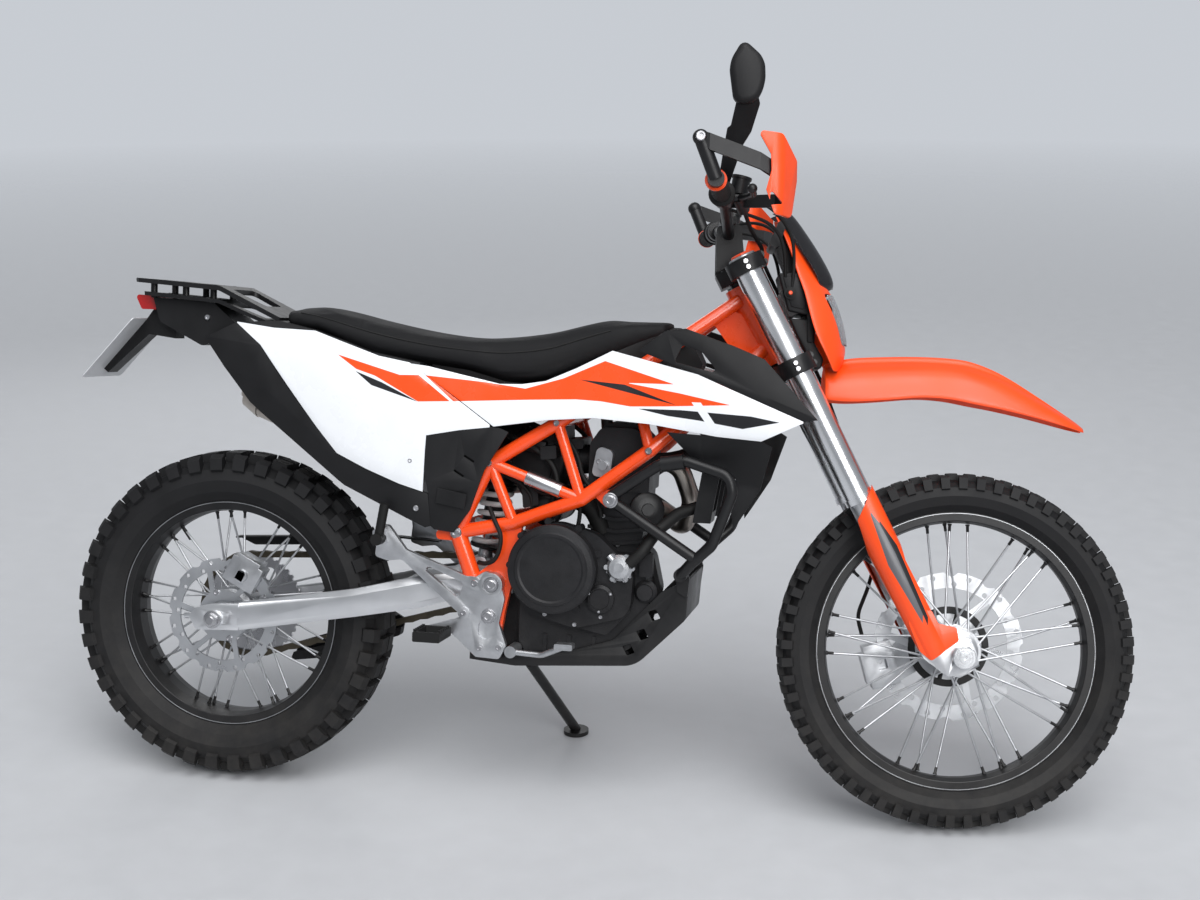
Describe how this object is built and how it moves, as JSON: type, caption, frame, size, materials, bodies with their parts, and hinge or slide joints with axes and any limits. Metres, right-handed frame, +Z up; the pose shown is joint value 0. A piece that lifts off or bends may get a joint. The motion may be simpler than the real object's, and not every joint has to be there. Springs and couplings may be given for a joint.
{
  "type": "dual sport motorcycle",
  "caption": "Dual sport motorcycle with a trellis frame, long-travel fork and knobbly tyres, parked leaning on its side stand.",
  "frame": {"origin": "middle of the footprint of the parked machine, on the ground", "axes": "+X forward, along the machine; +Y to its left; +Z up from the ground"},
  "size_m": [2.1902, 0.8721, 1.5253],
  "materials": {
    "alloy": "brushed and cast aluminium",
    "chain_steel": "oiled steel",
    "engine_dark": "dark grey painted casting",
    "fork_alloy": "turned and anodized aluminium",
    "frame_orange": "gloss orange powder coat",
    "header_steel": "heat-tinted steel",
    "lens_clear": "clear lens",
    "lens_red": "red and clear lamp lens",
    "lens_smoke": "smoked screen",
    "metal_black": "black coated metal",
    "plastic_black": "textured black plastic",
    "plastic_orange": "moulded orange plastic",
    "plastic_white": "moulded white plastic with stripes",
    "plate_grey": "blank plate",
    "rubber": "black rubber",
    "seat_cover": "ribbed black seat cover",
    "steel": "ground steel",
    "tyre": "knobbed black rubber"
  },
  "bodies": {
    "chassis": {"airbox": "plastic_black", "chain_guard": "plastic_black", "coolant_hoses": "rubber", "crash_bars": "metal_black", "cylinder": "engine_dark", "drive_chain": "chain_steel", "electrics": "plastic_black", "engine_block": "engine_dark", "engine_covers": "engine_dark", "engine_fittings": "alloy", "exhaust": "header_steel", "foot_levers": "alloy", "fuel_tank": "plastic_black", "head_frame": "frame_orange", "licence_plate": "plate_grey", "luggage_rack": "metal_black", "peg_brackets": "alloy", "pegs": "rubber", "radiators": "metal_black", "rear_caliper": "alloy", "scoops": "plastic_black", "seat": "seat_cover", "shock_absorber": "steel", "shrouds": "plastic_white", "side_panels": "plastic_white", "skid_plate": "metal_black", "swingarm": "alloy", "tail_housing": "plastic_black", "tail_light": "lens_red", "trellis_left": "frame_orange", "trellis_right": "frame_orange", "vented_covers": "plastic_black"},
    "steering": {"bar_controls": "metal_black", "brake_hose": "rubber", "fork_guards": "plastic_orange", "fork_lowers": "alloy", "fork_tubes": "fork_alloy", "front_caliper": "alloy", "front_fender": "plastic_orange", "grips": "rubber", "hand_guards": "metal_black", "hand_shields": "plastic_orange", "handlebar": "metal_black", "headlight": "lens_clear", "headlight_mask": "plastic_orange", "instruments": "plastic_black", "mirror": "plastic_black", "triple_clamps": "metal_black", "windshield": "lens_smoke"},
    "front_wheel": {"front_disc": "steel", "front_hub": "alloy", "front_rim": "metal_black", "front_tyre": "tyre"},
    "rear_wheel": {"rear_disc": "steel", "rear_hub": "alloy", "rear_rim": "metal_black", "rear_sprocket": "steel", "rear_tyre": "tyre"},
    "side_stand": {"side_stand": "metal_black"}
  },
  "joints": [
    {"name": "steering_head", "type": "hinge", "parent": "chassis", "child": "steering", "pos_m": [0.38743, -0.076, 0.87328], "axis": [-0.47, 0.157, 0.8686], "range_deg": [-51.1, 32.9]},
    {"name": "front_wheel_spin", "type": "hinge", "parent": "steering", "child": "front_wheel", "pos_m": [0.74633, -0.16096, 0.34451], "axis": [-0.1396, 0.9585, -0.2487], "continuous": true},
    {"name": "rear_wheel_spin", "type": "hinge", "parent": "chassis", "child": "rear_wheel", "pos_m": [-0.75412, -0.17216, 0.34122], "axis": [0, 0.9841, -0.1778], "continuous": true},
    {"name": "side_stand_fold", "type": "hinge", "parent": "chassis", "child": "side_stand", "pos_m": [-0.1544, -0.07237, 0.24114], "axis": [0.0019, 0.869, 0.4948], "range_deg": [0, 102]}
  ]
}
